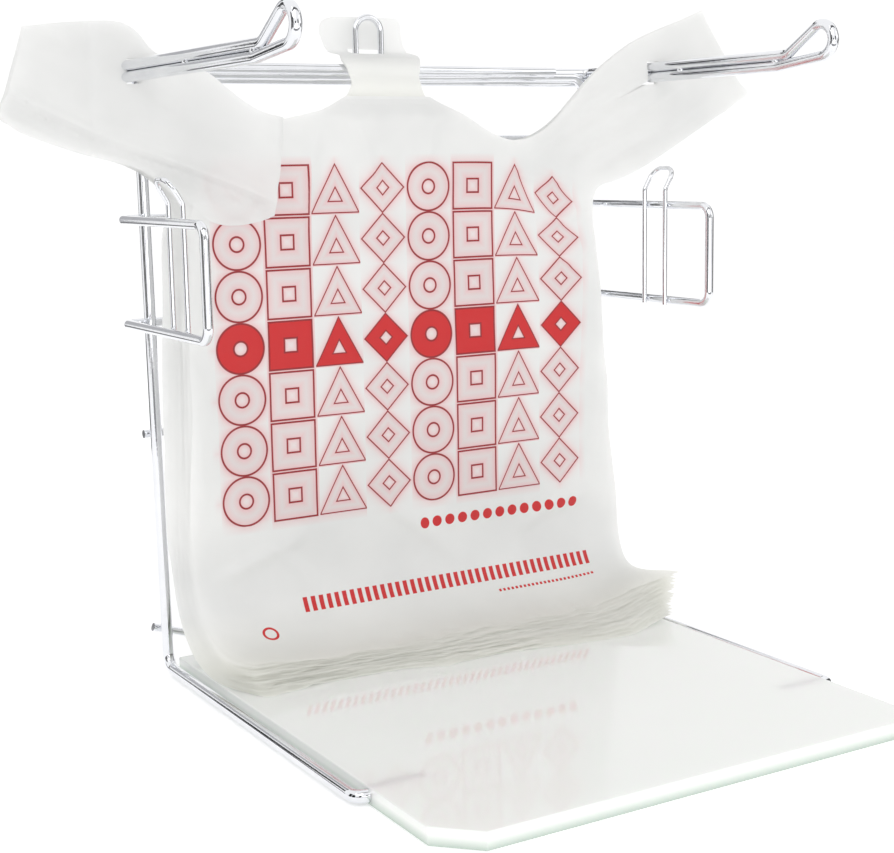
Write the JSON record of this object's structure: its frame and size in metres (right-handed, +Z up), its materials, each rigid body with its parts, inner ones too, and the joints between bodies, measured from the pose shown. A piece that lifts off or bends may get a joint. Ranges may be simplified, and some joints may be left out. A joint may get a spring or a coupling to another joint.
{
  "type": "plastic bag holder",
  "caption": "Counter-top wire rack on a plastic base plate that holds a pack of film carrier bags by their handles and centre tabs.",
  "frame": {"origin": "centre of the base plate's underside, on the surface that the holder stands on", "axes": "+X to the user's right, -Y towards the user, +Z up"},
  "size_m": [0.476, 0.348, 0.4035],
  "materials": {
    "plate": "gloss",
    "chrome_wire": "polished",
    "bag_film": "satin"
  },
  "bodies": {
    "base": {"base_plate": "plate"},
    "rack": {"frame_wire": "chrome_wire", "front_rail_rod": "chrome_wire", "arm_wire": "chrome_wire", "centre_hook": "chrome_wire", "upper_cross_wire": "chrome_wire", "mid_cross_wire": "chrome_wire", "lower_brace": "chrome_wire", "guard_hoop": "chrome_wire", "hanger_left": "chrome_wire", "hanger_right": "chrome_wire", "weld_beads": "chrome_wire", "bag_tab_block": "bag_film"},
    "bag_pack": {"bag_2": "bag_film", "bag_3": "bag_film", "bag_4": "bag_film", "bag_5": "bag_film", "bag_stack": "bag_film"},
    "front_bag": {"bag_front": "bag_film"}
  },
  "joints": [
    {"name": "frame_tilt", "type": "hinge", "parent": "base", "child": "rack", "pos_m": [0, -0.086, 0.00475], "axis": [1, 0, 0], "range_deg": [0, 90]},
    {"name": "pack_slide", "type": "slide", "parent": "rack", "child": "bag_pack", "axis": [0, -1, 0], "range_m": [0, 0.045]},
    {"name": "front_bag_slide", "type": "slide", "parent": "bag_pack", "child": "front_bag", "axis": [0, -1, 0], "range_m": [0, 0.08]}
  ]
}
